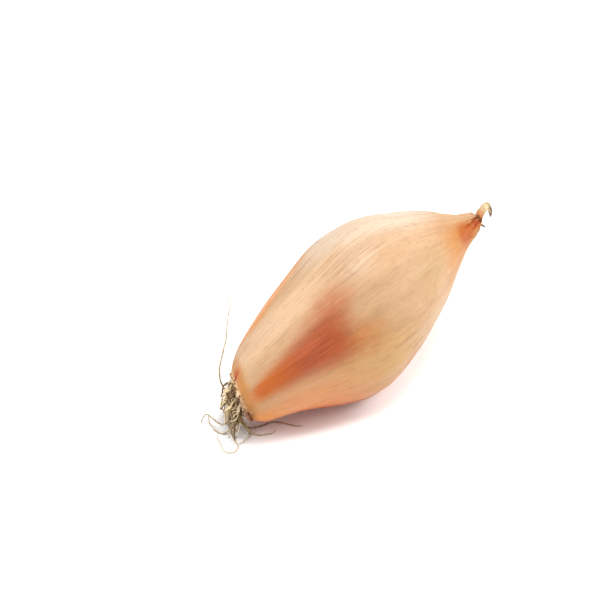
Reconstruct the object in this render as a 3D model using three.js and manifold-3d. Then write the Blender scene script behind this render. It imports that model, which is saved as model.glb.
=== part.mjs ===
/*
 * A long shallot bulb, lying on its belly as it was picked and dried.
 *
 * Three solids, each grown as one body and each of a colour of its own:
 *   bulb       the fleshy bulb in its dry skin, from the torn collar at the root end to the pleated neck
 *   root_tuft  the corky root plate with the dead roots that grow from it
 *   neck_tuft  the dry leaf ends that come out of the neck
 *
 * Units are millimetres. +Z is up and the floor is z = 0. +X runs from the root end to the neck. The origin
 * is the middle of the flat spot that the bulb rests on.
 */
import * as THREE from "three";
import { mergeVertices } from "three/addons/utils/BufferGeometryUtils.js";
import Module from "manifold-3d";

const wasm = await Module();
wasm.setup();

// ---------------------------------------------------------------- driving dimensions
const BULB_LENGTH = 87; // from the middle of the root end to the mouth of the neck, along X
const BELLY_RADIUS = 20.35; // the thickest section, without its swellings
const REST = { x: 38.9, y: -3.5 }; // the rest spot, measured from the middle of the root end
const GAP = 0.35; // clearance between two solids that touch on the real thing

// Share of the length, and the radius there as a share of BELLY_RADIUS.
const PROFILE = [
  [0.0, 0.355],
  [0.02, 0.455],
  [0.06, 0.567],
  [0.16, 0.701],
  [0.3, 0.853],
  [0.44, 1.0],
  [0.58, 0.979],
  [0.72, 0.765],
  [0.84, 0.481],
  [0.93, 0.277],
  [1.0, 0.168],
];

// The axis is one Bezier curve whose X grows evenly. These are the Y and the height of its four points.
const AXIS_Y = [0.15, -4.1, -1.35, -0.95];
const AXIS_HEIGHT = [12.2, 28.8, 26.8, 30.4];

// The belly swells to the ground in two places, and the back of the neck a little: share of the radius, share
// of the length, direction, and how far the swelling reaches along the bulb.
const SWELLINGS = [
  { height: 0.312, at: 0.328, angle: -2.15, reach: 0.18 },
  { height: 0.305, at: 0.595, angle: -1.222, reach: 0.18 },
  { height: 0.17, at: 0.87, angle: 0.75, reach: 0.1 },
];

// The rim of the root end leans: X per millimetre of Y and of Z. The lean dies out along the bulb.
const LEAN = { y: 0.506, z: -0.34, reach: 0.16 };

const RIBS = { count: 18, height: 0.18 }; // low ribs along the bulb
const PLEATS = { count: 12, depth: 0.26, from: 0.92, twist: 26 }; // the folds that close the neck

const COLLAR = { wall: 1.3, basin: 2.6, tear: 0.6 }; // the torn skin round the root plate
const MOUTH = { inner: 0.7, socket: 3, tear: 0.5 }; // torn skin of the neck; inner is a share of its radius

const PLATE_BULGE = 1.0; // how far the root plate stands out in its middle
const ROOT_RADIUS = 0.3;
const COIL = { forward: 0.4, up: 0.25, higherSmaller: 0.6 }; // reach of a root's coil, as shares of its curl
const ROOT_COUNT = 30;
const ROOT_SUNK = 1.0; // how deep each root starts inside the plate
const LEAF_THICKNESS = 0.8;
const PLUG_RADIUS = 1.4; // the stub inside the neck that carries the dry leaf ends

const AROUND = 72; // faces round the bulb
const ALONG = 36; // and along it

// The longest roots, as they dried. X and Y start at the middle of the root end, and Z at the floor.
const LONG_ROOTS = [
  // one stands up beside the bulb
  [[2.2, 3, 11], [-1.4, 3.8, 9.6], [-2.2, 4.8, 12.2], [-2.8, 5.6, 15.8], [-2.9, 5.8, 19.5], [-2.5, 5.6, 23],
    [-1.9, 5.1, 26.5], [-1, 4.7, 30.5], [-0.4, 4.7, 36.5], [0.2, 4.6, 41.5], [-0.2, 5.6, 44.2]],
  // two arch over to the far side, one above the other
  [[3.2, 3, 9], [-0.6, 2.4, 7.2], [-2.2, 1.8, 5], [-4.3, 1.3, 3.4], [-5.4, 2.4, 2.6], [-5.7, 4.4, 2.6],
    [-5.7, 6.6, 2.6], [-5.4, 8.5, 2.3], [-6.1, 9.5, 1.4], [-7.9, 8.9, 0.3]],
  [[3, 2, 8], [-0.6, 1.4, 6.4], [-1.8, 0.8, 4.2], [-2.9, 0.5, 2.2], [-4.6, 0.6, 0.8], [-5.8, 1.1, 0.3],
    [-6.8, 2.6, 0.3], [-6.7, 4.6, 0.7], [-6.3, 6.6, 1.2], [-5.4, 8.4, 2]],
  // one makes a wide loop on the floor in front of the root end
  [[1.8, 0, 8.5], [-1.6, 0.9, 6], [-1.9, 1.3, 3.5], [-3.9, 0.7, 1], [-5.2, -2.9, 0.3], [-6.1, -5.5, 0.3],
    [-8.3, -6.6, 0.3], [-10.2, -5.8, 0.3], [-10.2, -4, 0.3], [-8.9, -1.2, 0.3], [-7.6, 1.8, 0.3]],
  // the rest come down on the near side: along the bulb, under its belly, and to the front
  [[3.3, 3, 8.3], [0.3, 4.6, 6.8], [0, 2.8, 5.2], [0, 0.9, 3.6], [0, -1.3, 2.2], [0, -3.3, 0.9],
    [0.5, -4.9, 0.3], [1.8, -6.4, 0.3], [3.9, -7.4, 0.3], [6.2, -7.3, 0.3]],
  [[1.8, -1, 7.8], [-0.9, -0.4, 5.2], [0, 0.2, 2.6], [0.9, -1.8, 0.9], [3.9, -3.1, 0.3], [6.9, -4, 0.3],
    [9.2, -5.6, 0.3], [11.1, -8.2, 0.3], [13.1, -10.6, 0.3]],
  [[2.6, 1, 8], [-0.5, 1, 5], [-0.7, 1, 3], [-0.1, -1.4, 1.2], [-0.2, -3.3, 0.3], [-1.6, -4.7, 0.3],
    [-3.7, -5.4, 0.3], [-5.3, -5.1, 0.3]],
];

// The dry leaf ends, measured from the mouth of the neck: the route, the width at each of its points, and the
// way that the leaf is wide at its start and at its end.
const DRY_LEAVES = [
  { route: [[-1.5, -0.5, 0], [1.3, -0.8, 0], [2.3, -1.1, 0.4], [2.4, -1.3, 1.9], [2.9, -1.5, 3.6],
      [3.9, -1.6, 4.6], [5, -1.7, 4.3], [5.9, -1.8, 2.7], [6.1, -1.9, 0.9]],
    widths: [1.2, 1.5, 2.2, 3, 3.5, 3.6, 3.3, 2.6, 1.4], across: [[-0.19, 0.98, 0.11], [0.9, 0.42, 0]] },
  { route: [[-1.5, 0, 0], [1.7, -0.1, -0.2], [3, -1, -0.9], [3.6, -2.2, -1.7]],
    widths: [1.2, 1.2, 1, 0.7], across: [[-0.19, 0.98, 0.11], [-0.19, 0.98, 0.11]] },
  { route: [[-1.5, 0, 0], [1.7, 0.2, 0], [3.2, 1.1, 0.3], [4.2, 2.4, 0.1]],
    widths: [1.2, 1.3, 1.1, 0.7], across: [[-0.19, 0.98, 0.11], [-0.19, 0.98, 0.11]] },
];

// ---------------------------------------------------------------- small helpers
const vec = (x, y, z) => new THREE.Vector3(x, y, z);
const bell = (x, width) => Math.exp(-((x / width) ** 2));
const { smoothstep, lerp } = THREE.MathUtils;
const turn = (share) => 2 * Math.PI * share;
const evenly = (count, place) => Array.from({ length: count }, (_, i) => place(i / count, i));

/** Numbers from 0 to 1 that are the same on every run. */
function drawsFrom(seed) {
  let state = seed >>> 0;
  return (low = 0, high = 1) => {
    state = (Math.imul(state, 1664525) + 1013904223) >>> 0;
    return lerp(low, high, state / 4294967296);
  };
}

/** Closes a stack of equal rings with a point at each end. Seen from the last, they turn anticlockwise. */
function skinOver(first, rings, last) {
  const sides = rings[0].length;
  const points = [first, ...rings.flat(), last];
  const at = (ring, side) => 1 + ring * sides + (side % sides);
  const faces = [];
  for (let s = 0; s < sides; s++) {
    faces.push(0, at(0, s + 1), at(0, s));
    for (let r = 0; r + 1 < rings.length; r++) {
      faces.push(at(r, s), at(r, s + 1), at(r + 1, s + 1));
      faces.push(at(r, s), at(r + 1, s + 1), at(r + 1, s));
    }
    faces.push(at(rings.length - 1, s), at(rings.length - 1, s + 1), points.length - 1);
  }
  return new THREE.BufferGeometry().setFromPoints(points).setIndex(faces);
}

function toSolid(geometry) {
  const bare = new THREE.BufferGeometry();
  bare.setAttribute("position", geometry.getAttribute("position"));
  bare.setIndex(geometry.index);
  const merged = mergeVertices(bare, 1e-4);
  const solid = new wasm.Manifold(
    new wasm.Mesh({
      numProp: 3,
      vertProperties: new Float32Array(merged.attributes.position.array),
      triVerts: new Uint32Array(merged.index.array),
    }),
  );
  if (solid.volume() <= 0) throw new Error("a solid is inside out");
  return solid;
}

function toGeometry(solid) {
  const mesh = solid.getMesh();
  const geometry = new THREE.BufferGeometry();
  geometry.setAttribute("position", new THREE.BufferAttribute(mesh.vertProperties, 3));
  geometry.setIndex(new THREE.BufferAttribute(mesh.triVerts, 1));
  geometry.computeVertexNormals();
  return geometry;
}

// ---------------------------------------------------------------- the bulb's surface
const profile = new THREE.SplineCurve(
  PROFILE.map(([along, share]) => new THREE.Vector2(along, share * BELLY_RADIUS)),
);
const axis = new THREE.CubicBezierCurve3(
  ...AXIS_Y.map((y, i) => vec((BULB_LENGTH * i) / 3 - REST.x, y - REST.y, AXIS_HEIGHT[i])),
);

/** How much the swellings widen the bulb in one direction. */
function swelling(along, angle) {
  let sum = 1;
  for (const { height, at, angle: towards, reach } of SWELLINGS) {
    sum += height * bell(along - at, reach) * Math.max(0, Math.cos(angle - towards)) ** 2;
  }
  return sum;
}

/** 1 on the ridge of a pleat and -1 in its sharp valley. The pleats are uneven, and twist as they close. */
function pleatWave(along, angle) {
  const uneven = PLEATS.count * angle + 1.3 * Math.sin(angle) + 0.9 * Math.sin(2 * angle + 1);
  return 2 * Math.abs(Math.cos((uneven + PLEATS.twist * Math.max(along - 0.9, 0)) / 2)) - 1;
}

/** Height of the ribs and depth of the pleats at one place, as a change of the radius. */
function relief(along, angle, radius) {
  const uneven = RIBS.count * angle + 1.4 * Math.sin(2 * angle);
  const ribs = RIBS.height * Math.sin(Math.PI * along) * Math.cos(uneven);
  const closing = smoothstep(along, PLEATS.from, 1);
  return ribs - PLEATS.depth * closing * radius * (0.5 - 0.5 * pleatWave(along, angle));
}

/** The point of the skin at a share of the way along the profile, and an angle from +Y towards +Z. */
function skinPoint(share, angle) {
  const { x: along, y: base } = profile.getPoint(share);
  const radius = base * swelling(along, angle) + relief(along, angle, base);
  const lean = bell(along, LEAN.reach) * (LEAN.y * Math.cos(angle) + LEAN.z * Math.sin(angle));
  return axis.getPoint(along).add(vec(lean, Math.cos(angle), Math.sin(angle)).multiplyScalar(radius));
}

// ---------------------------------------------------------------- the two ends
const rootCentre = axis.getPoint(0);
const rootOut = vec(-1, LEAN.y, LEAN.z).normalize();
const rimRadius = PROFILE[0][1] * BELLY_RADIUS;
const plateRadius = rimRadius - COLLAR.wall - GAP;

/** The way from the middle of the root end to its rim. It follows the lean. */
const rootSpoke = (angle) =>
  vec(LEAN.y * Math.cos(angle) + LEAN.z * Math.sin(angle), Math.cos(angle), Math.sin(angle));

/** A point over the root end: distance from its middle, angle round it, and height out of the bulb. */
const rootEnd = (radius, angle, height) =>
  rootCentre.clone().addScaledVector(rootSpoke(angle), radius).addScaledVector(rootOut, height);

const neckTip = axis.getPoint(1);
const neckOut = axis.getTangent(1);

/** A point over the mouth of the neck: share of the way from its middle to the skin, angle, and height. */
const neckEnd = (share, angle, height) =>
  neckTip.clone().lerp(skinPoint(1, angle), share).addScaledVector(neckOut, height);

/** How far torn skin stands out at each angle: scraps of unequal height. */
const tear = (angle, scraps, height) =>
  height * (0.35 + 0.65 * Math.abs(Math.sin(scraps * angle + 0.7 * Math.sin(3 * angle)))) *
  (0.65 + 0.35 * Math.cos(2 * angle + 1));

function makeBulb() {
  const ring = (place) => evenly(AROUND, (share) => place(turn(share)));
  const collar = (angle) => tear(angle, 6.5, COLLAR.tear);
  const lip = (angle) => tear(angle, 3.5, MOUTH.tear);
  const rings = [
    ring((a) => rootEnd((rimRadius - COLLAR.wall) / 2, a, -COLLAR.basin)),
    ring((a) => rootEnd(rimRadius - COLLAR.wall, a, -COLLAR.basin)),
    ring((a) => rootEnd(rimRadius - COLLAR.wall, a, collar(a))),
    ring((a) => rootEnd(rimRadius - 0.7 * COLLAR.wall, a, 0.5 + collar(a) / 2)),
    ring((a) => rootEnd(rimRadius - 0.25 * COLLAR.wall, a, 0.3)),
  ];
  for (let i = 0; i <= ALONG; i++) rings.push(ring((a) => skinPoint(i / ALONG, a)));
  rings.push(
    ring((a) => neckEnd(0.96, a, 0.55)),
    ring((a) => neckEnd(0.85, a, 1.05 + 0.4 * lip(a))),
    ring((a) => neckEnd(MOUTH.inner, a, 1.2 + lip(a))),
    ring((a) => neckEnd(MOUTH.inner, a, -MOUTH.socket)),
  );
  const whole = toSolid(skinOver(rootEnd(0, 0, -COLLAR.basin), rings, neckEnd(0, 0, -MOUTH.socket)));
  const ground = new THREE.BoxGeometry(4 * BULB_LENGTH, 4 * BULB_LENGTH, BELLY_RADIUS);
  ground.translate(0, 0, -BELLY_RADIUS / 2);
  return whole.subtract(toSolid(ground));
}

// ---------------------------------------------------------------- roots
/** A round strand through the points, with a blunt point at each end. */
function strand(points, radius, sides = 5) {
  const curve = new THREE.CatmullRomCurve3(points, false, "centripetal");
  const steps = Math.max(6, Math.round(curve.getLength() / 1.3));
  const { normals, binormals } = curve.computeFrenetFrames(steps);
  const rings = normals.map((normal, i) => {
    const middle = curve.getPointAt(i / steps);
    return evenly(sides, (share) =>
      middle
        .clone()
        .addScaledVector(normal, radius * Math.cos(turn(share)))
        .addScaledVector(binormals[i], radius * Math.sin(turn(share))),
    );
  });
  const tip = (share, out) => curve.getPointAt(share).addScaledVector(curve.getTangentAt(share), out);
  return toSolid(skinOver(tip(0, -radius), rings, tip(1, radius)));
}

/** Lifts a point that would be under the floor, so that the root lies on the floor there. */
function onFloor(point) {
  const clear = point.z - ROOT_RADIUS;
  point.z = ROOT_RADIUS + 0.01 + (clear > 0 ? clear : 0);
  return point;
}

/**
 * The points of one dead root: it leaves the plate, slows down, droops, and winds down like a loose spring.
 * Its level circles are pushed outwards to clear the plate, and are smaller for the roots that start higher.
 * The roots are spread over the plate as the seeds of a sunflower are.
 */
function rootRoute(index, draw) {
  const place = 0.86 * plateRadius * Math.sqrt((index + 0.5) / ROOT_COUNT);
  const angle = index * Math.PI * (3 - Math.sqrt(5));
  const length = draw(5.5, 12);
  const spread = draw(0, 0.35) * (place / plateRadius);
  const droop = draw(0.45, 1.1);
  const above = Math.max(0, Math.sin(angle)) * (place / plateRadius);
  const curl = draw(0.8, 1.5) * (1 - COIL.higherSmaller * above);
  const turns = draw(1.2, 2.4) * Math.sign(draw(-1, 1));
  const phase = turn(draw());
  const start = rootEnd(place, angle, 0);
  const spoke = rootSpoke(angle).normalize();
  const side = vec(0, 0, 1).cross(rootOut).normalize();
  const forward = side.clone().cross(vec(0, 0, 1));
  return evenly(25, (_, i) => {
    const s = i / 24;
    const swing = curl * Math.min(1, 2.5 * s);
    const round = turn(turns * s) + phase;
    const point = start
      .clone()
      .addScaledVector(rootOut, length * (0.62 * s - 0.2 * s * s) - ROOT_SUNK * (1 - s))
      .addScaledVector(spoke, length * spread * 0.5 * s)
      .addScaledVector(side, swing * Math.cos(round))
      .addScaledVector(forward, COIL.forward * swing * (1 + Math.sin(round)));
    point.z += COIL.up * swing * Math.sin(round) - length * droop * s * s;
    return onFloor(point);
  });
}

function makeRootTuft() {
  const ring = (radius, height) => evenly(24, (share) => rootEnd(radius, -turn(share), height));
  const back = -COLLAR.basin + GAP;
  const front = [1, 0.85, 0.6, 0.3].map((share) =>
    ring(plateRadius * share, PLATE_BULGE * (1 - share ** 3) - 0.4 * bell(share, 0.35)),
  );
  const rings = [ring(plateRadius * 0.6, back), ring(plateRadius, back), ...front];
  let tuft = toSolid(skinOver(rootEnd(0, 0, back), rings, rootEnd(0, 0, PLATE_BULGE - 0.4)));
  const draw = drawsFrom(11);
  const routes = evenly(ROOT_COUNT, (_, i) => rootRoute(i, draw));
  for (const route of LONG_ROOTS) {
    routes.push(route.map(([x, y, height]) => onFloor(vec(x - REST.x, y - REST.y, height))));
  }
  for (const route of routes) tuft = tuft.add(strand(route, ROOT_RADIUS));
  return tuft;
}

// ---------------------------------------------------------------- dry leaf ends
/** A thin cupped blade along a route. It is as wide as the list says, and twists from one way to the other. */
function blade(points, widths, [acrossStart, acrossEnd]) {
  const curve = new THREE.CatmullRomCurve3(points, false, "centripetal");
  const widthCurve = new THREE.SplineCurve(widths.map((w, i) => new THREE.Vector2(i, w)));
  const steps = Math.round(curve.getLength() / 0.7);
  const rings = evenly(steps + 1, (_, i) => {
    const share = i / steps;
    const along = curve.getTangent(share);
    const wide = vec(...acrossStart).lerp(vec(...acrossEnd), share);
    const up = along.clone().cross(wide).normalize();
    const across = up.clone().cross(along);
    const half = widthCurve.getPoint(share).y / 2;
    return evenly(10, (part) => {
      const sideways = half * Math.cos(turn(part));
      const cup = 0.35 * half * Math.cos(turn(part)) ** 2;
      return curve
        .getPoint(share)
        .addScaledVector(across, sideways)
        .addScaledVector(up, 0.5 * LEAF_THICKNESS * Math.sin(turn(part)) + cup);
    });
  });
  return toSolid(skinOver(curve.getPoint(0), rings, curve.getPoint(1)));
}

function makeNeckTuft() {
  const ring = (radius, height) =>
    evenly(16, (share) =>
      neckTip
        .clone()
        .add(vec(0, radius * Math.cos(turn(share)), radius * Math.sin(turn(share))))
        .addScaledVector(neckOut, height),
    );
  const back = -MOUTH.socket + GAP;
  let tuft = toSolid(
    skinOver(
      neckEnd(0, 0, back),
      [ring(PLUG_RADIUS, back), ring(PLUG_RADIUS, 0), ring(0.8 * PLUG_RADIUS, 1.2)],
      neckEnd(0, 0, 1.6),
    ),
  );
  for (const { route, widths, across } of DRY_LEAVES) {
    const points = route.map(([x, y, z]) => neckTip.clone().add(vec(x, y, z)));
    tuft = tuft.add(blade(points, widths, across));
  }
  return tuft;
}

// ---------------------------------------------------------------- put together
const shallot = new THREE.Group();
function addPart(name, solid, color, roughness) {
  const material = new THREE.MeshStandardMaterial({ color, roughness, metalness: 0 });
  const mesh = new THREE.Mesh(toGeometry(solid), material);
  mesh.name = name;
  shallot.add(mesh);
}
addPart("bulb", makeBulb(), 0xdca878, 0.45);
addPart("root_tuft", makeRootTuft(), 0x8f8160, 0.9);
addPart("neck_tuft", makeNeckTuft(), 0xcdb083, 0.8);

export default shallot;
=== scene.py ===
# %% [markdown]
# # Dressing a long shallot
#
# A shallot lies on its belly as it dried: a fat bulb in a papery copper skin, a tuft of dead roots at one
# end and a wisp of dry leaf at the other. The measured model gives three plain solids with the true sizes.
# This lesson keeps those sizes and makes every surface again, finely enough to be looked at closely.
#
# The frame comes first, because every piece is placed by it.

# %% Load the frame
import math

import bpy
import numpy as np
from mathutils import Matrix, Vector


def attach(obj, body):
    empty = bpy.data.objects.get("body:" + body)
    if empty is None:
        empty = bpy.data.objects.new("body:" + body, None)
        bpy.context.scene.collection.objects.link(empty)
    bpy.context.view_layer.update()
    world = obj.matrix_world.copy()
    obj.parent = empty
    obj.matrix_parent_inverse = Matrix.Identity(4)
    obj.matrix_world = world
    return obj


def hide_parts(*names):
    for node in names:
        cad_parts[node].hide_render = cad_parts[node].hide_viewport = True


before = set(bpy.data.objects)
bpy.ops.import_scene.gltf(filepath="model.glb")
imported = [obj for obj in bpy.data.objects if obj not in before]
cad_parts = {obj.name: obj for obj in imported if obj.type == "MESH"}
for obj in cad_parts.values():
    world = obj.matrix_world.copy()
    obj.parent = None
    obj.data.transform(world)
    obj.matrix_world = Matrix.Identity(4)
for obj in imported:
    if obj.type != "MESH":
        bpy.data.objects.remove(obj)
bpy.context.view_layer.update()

MM = 0.001

# %% [markdown]
# ## The measures of the bulb
#
# The same few numbers that shaped the solid shape the fine skin: a length, a belly radius, the outline as
# shares of both, a bent axis, three swellings and the slant of the root end. Most of them come from a
# least-squares fit to a real shallot's outline, and were rounded. All are in millimetres, and the origin is
# the middle of the spot that the bulb rests on. Using the formula again is safer than smoothing the solid's
# facets, because the fine skin then passes through the same places.

# %% Measures in millimetres
BULB_LENGTH = 87.0
BELLY_RADIUS = 20.35
REST_X, REST_Y = 38.9, -3.5
PROFILE = np.array([  # share of the length, share of the belly radius
    [0.0, 0.355], [0.02, 0.455], [0.06, 0.567], [0.16, 0.701], [0.3, 0.853], [0.44, 1.0],
    [0.58, 0.979], [0.72, 0.765], [0.84, 0.481], [0.93, 0.277], [1.0, 0.168],
])
AXIS_Y = np.array([0.15, -4.1, -1.35, -0.95])  # of the four points that bend the axis
AXIS_HEIGHT = np.array([12.2, 28.8, 26.8, 30.4])
SWELLINGS = (  # height, place along, direction, reach
    (0.312, 0.328, -2.15, 0.18), (0.305, 0.595, -1.222, 0.18), (0.17, 0.87, 0.75, 0.1),
)
LEAN_Y, LEAN_Z, LEAN_REACH = 0.506, -0.34, 0.16
PLEAT_COUNT, PLEAT_DEPTH, PLEATS_FROM = 12, 0.26, 0.92
COLLAR_WALL, COLLAR_BASIN, COLLAR_TEAR = 1.3, 2.6, 0.7
MOUTH_INNER, MOUTH_SOCKET, MOUTH_TEAR = 0.4, 3.0, 0.5
TURN = 2 * math.pi

AXIS_POINTS = np.stack([BULB_LENGTH * np.arange(4) / 3 - REST_X, AXIS_Y - REST_Y, AXIS_HEIGHT], axis=-1)
print("bulb from x", AXIS_POINTS[0, 0], "to", AXIS_POINTS[3, 0], "mm")


# %% [markdown]
# ## Curves as whole arrays
#
# A few small helpers are all the drawing tools needed: a smooth bump, a smooth step, curves that pass
# through points or are pulled by them, and uneven waves. Each takes a whole array of places at once, so no
# loop ever visits single vertices.

# %% Bumps, steps and curves
def bell(x, width):
    """A bump: e to the power of minus x over width, squared."""
    return np.exp(-(x / width) ** 2)


def step(x, low, high):
    """0 below low, 1 above high, and 3s^2 - 2s^3 between them."""
    s = np.clip((x - low) / (high - low), 0, 1)
    return s * s * (3 - 2 * s)


def through(points, share):
    """A curve through the points: each span is a cubic whose slope at a point is half the chord between its
    two neighbours. share runs from 0 at the first point to 1 at the last."""
    points = np.asarray(points, float)
    last = len(points) - 1
    place = np.clip(share, 0, 1) * last
    span = np.minimum(place.astype(int), last - 1)
    w = (place - span)[..., None]
    before, start = points[np.maximum(span - 1, 0)], points[span]
    end, after = points[span + 1], points[np.minimum(span + 2, last)]
    slope_in, slope_out = (end - before) / 2, (after - start) / 2
    cubic = 2 * start - 2 * end + slope_in + slope_out
    square = -3 * start + 3 * end - 2 * slope_in - slope_out
    return ((cubic * w + square) * w + slope_in) * w + start


def bezier(points, share):
    """Four points weighted by (1-s)^3, 3s(1-s)^2, 3s^2(1-s) and s^3."""
    s = share[..., None]
    weights = ((1 - s) ** 3, 3 * s * (1 - s) ** 2, 3 * s ** 2 * (1 - s), s ** 3)
    return sum(w * p for w, p in zip(weights, points))


def lobes(angle, along, counts, drift, seed):
    """Uneven waves round the bulb: cosines of count times the angle, each with a start of its own, that
    slowly drift as they run along the bulb. Their sum is divided by the root of their number."""
    draw = np.random.default_rng(seed)
    waves = [
        np.cos(count * angle + draw.uniform(0, TURN) + draw.uniform(-drift, drift) * along)
        for count in counts
    ]
    return sum(waves) / math.sqrt(len(counts))


print("belly radius from the outline:", round(float(through(PROFILE, np.array(0.5))[1] * BELLY_RADIUS), 2))


# %% [markdown]
# ## The shape of the skin
#
# The skin is a function of two parameters: how far along the bulb, and the angle round it, measured from
# the far side upwards. The radius is the outline's, widened by the swellings, and then changed by fractions
# of a millimetre: low ribs where the fleshy leaves inside meet, puckers at the torn rim, and pleats that
# close the neck. A pleat is made with the size of a cosine of half the angle, because that has a sharp
# valley and a round ridge, as gathered paper does.

# %% The low relief of the skin
RIB_COUNT, RIB_HEIGHT = 18, 0.18
UNEVEN_HEIGHT, PUCKER_HEIGHT, SLIT_DEPTH = 0.12, 0.1, 0.35
FINE_PLEAT_DEPTH, GATHER_HEIGHT = 0.05, 0.08


def swelling(along, angle):
    """1 plus, for each swelling, its height times a bump along the bulb times the squared cosine of the
    angle from its direction."""
    total = 1.0
    for height, place, direction, reach in SWELLINGS:
        facing = np.maximum(0, np.cos(angle - direction)) ** 2
        total = total + height * bell(along - place, reach) * facing
    return total


def pleat_wave(along, angle):
    """1 on the ridge of a pleat and -1 in its sharp valley. The pleats are uneven, and twist as they
    close."""
    twist = 26 * np.maximum(along - 0.9, 0) + 0.7 * np.sin(70 * along + 3 * angle)
    phase = PLEAT_COUNT * angle + 1.3 * np.sin(angle) + 0.9 * np.sin(2 * angle + 1) + twist
    return 2 * np.abs(np.cos(0.5 * phase)) - 1


def rim_slits(along, angle):
    """1 in the few narrow folds that run up to the torn rim, where an uneven wave crosses zero."""
    where = 0.35 + 0.65 * np.maximum(0, np.cos(angle - 1.4)) ** 2
    return where * bell(np.maximum(along, 0), 0.02) * bell(lobes(angle, along, (5, 9, 14), 12, seed=3), 0.14)


def relief(along, angle, radius):
    """Millimetres to add to the radius: ribs, slow unevenness, rim puckers, and the pleats of the neck."""
    ribs = RIB_HEIGHT * np.sin(math.pi * along) * np.cos(RIB_COUNT * angle + 1.4 * np.sin(2 * angle))
    uneven = UNEVEN_HEIGHT * np.sin(math.pi * along) * lobes(angle, along, (2, 3, 5, 7), 5, seed=1)
    puckers = PUCKER_HEIGHT * bell(along, 0.04) * lobes(angle, along, (13, 17, 22), 40, seed=2)
    slits = -SLIT_DEPTH * rim_slits(along, angle)
    closing = step(along, PLEATS_FROM, 1)
    pleats = -PLEAT_DEPTH * closing * radius * (0.5 - 0.5 * pleat_wave(along, angle))
    fine = FINE_PLEAT_DEPTH * step(along, 0.9, 0.98) * radius * lobes(angle, along, (19, 23, 31), 30, seed=4)
    gathers = GATHER_HEIGHT * step(along, 0.94, 1) * np.cos(240 * along + 4 * np.sin(3 * angle))
    return ribs + uneven + puckers + slits + pleats + fine + gathers


# %% The skin as a function of place and angle
def skin_point(share, angle):
    """Axis point plus radius times (lean, cosine, sine). Nothing goes below the floor, which makes the rest
    spot flat."""
    along, base = np.moveaxis(through(PROFILE * [1, BELLY_RADIUS], share), -1, 0)
    radius = base * swelling(along, angle) + relief(along, angle, base)
    lean = bell(along, LEAN_REACH) * (LEAN_Y * np.cos(angle) + LEAN_Z * np.sin(angle))
    spoke = np.stack([lean, np.cos(angle), np.sin(angle)], axis=-1)
    point = bezier(AXIS_POINTS, along) + radius[..., None] * spoke
    point[..., 2] = np.maximum(point[..., 2], 0)
    return point


top = skin_point(np.array(0.5), np.array(math.pi / 2))
print("top of the skin at the middle of the outline, mm", top.round(2))

# %% [markdown]
# ## The two ends of the bulb
#
# The root end slants, so places on it are given as a radius, an angle and a height straight out of it. The
# dry skin ends there in a ragged collar: a sine with uneven teeth says how far each scrap stands out.

# %% Places on the two ends
def unit(vectors):
    """Each vector divided by its length."""
    return vectors / np.linalg.norm(vectors, axis=-1, keepdims=True)


root_centre, neck_tip = AXIS_POINTS[0], AXIS_POINTS[3]
root_out = unit(np.array([-1, LEAN_Y, LEAN_Z]))
neck_out = unit(AXIS_POINTS[3] - AXIS_POINTS[2])
rim_radius = PROFILE[0, 1] * BELLY_RADIUS
plate_radius = rim_radius - COLLAR_WALL


def root_spoke(angle):
    """The way from the middle of the root end to its rim, which follows the slant of that end."""
    cosine, sine = np.cos(angle), np.sin(angle)
    return np.stack([LEAN_Y * cosine + LEAN_Z * sine, cosine, sine], axis=-1)


def root_end(radius, angle, height):
    """The middle of the root end, plus radius times the spoke, plus height straight out of the bulb."""
    radius, height = np.broadcast_arrays(radius, height, angle)[:2]
    return root_centre + radius[..., None] * root_spoke(angle) + height[..., None] * root_out


def torn(angle, scraps, height):
    """How far torn skin stands out: the size of a sine with uneven teeth, taller on one side than on the
    other."""
    teeth = 0.35 + 0.65 * np.abs(np.sin(scraps * angle + 0.7 * np.sin(3 * angle)))
    return height * teeth * (0.65 + 0.35 * np.cos(2 * angle + 1))


print("root end radius", round(rim_radius, 2), "mm, plate radius", round(plate_radius, 2), "mm")


# %% [markdown]
# ## From rings to a mesh
#
# Every closed piece here is a stack of rings with a point at each end: the bulb is one such stack, and so
# is each root and each leaf. One function turns such stacks into a single mesh, with a UV map that runs
# round the ring in u and along the stack in v. The map is written corner by corner, so the seam where the
# ring closes has u = 1 on one side and u = 0 on the other, and a pattern can cross it without a jump.

# %% The faces of a stack, and its map
def stack_faces(stacks, rows, sides):
    """The vertex number at each corner, and the number of corners of each face. A stack's vertices are its
    first point, its rings one after another, and its last point. Quads lie between two rings, and a fan of
    triangles closes each end."""
    size = rows * sides + 2
    row, side = np.meshgrid(np.arange(rows - 1), np.arange(sides), indexing="ij")
    nearby = (side + 1) % sides

    def number(r, s):
        return 1 + r * sides + s

    quads = np.stack([
        number(row, side), number(row, nearby), number(row + 1, nearby), number(row + 1, side),
    ], axis=-1).reshape(-1, 4)
    first = np.stack([np.zeros(sides, int), number(0, nearby[0]), number(0, side[0])], axis=-1)
    final = np.stack([
        number(rows - 1, side[0]), number(rows - 1, nearby[0]), np.full(sides, size - 1),
    ], axis=-1)
    shift = (np.arange(stacks) * size)[:, None, None]
    loops = np.concatenate([(part + shift).reshape(-1) for part in (quads, first, final)])
    counts = np.concatenate([np.full(stacks * len(quads), 4), np.full(2 * stacks * sides, 3)])
    return loops, counts


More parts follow.
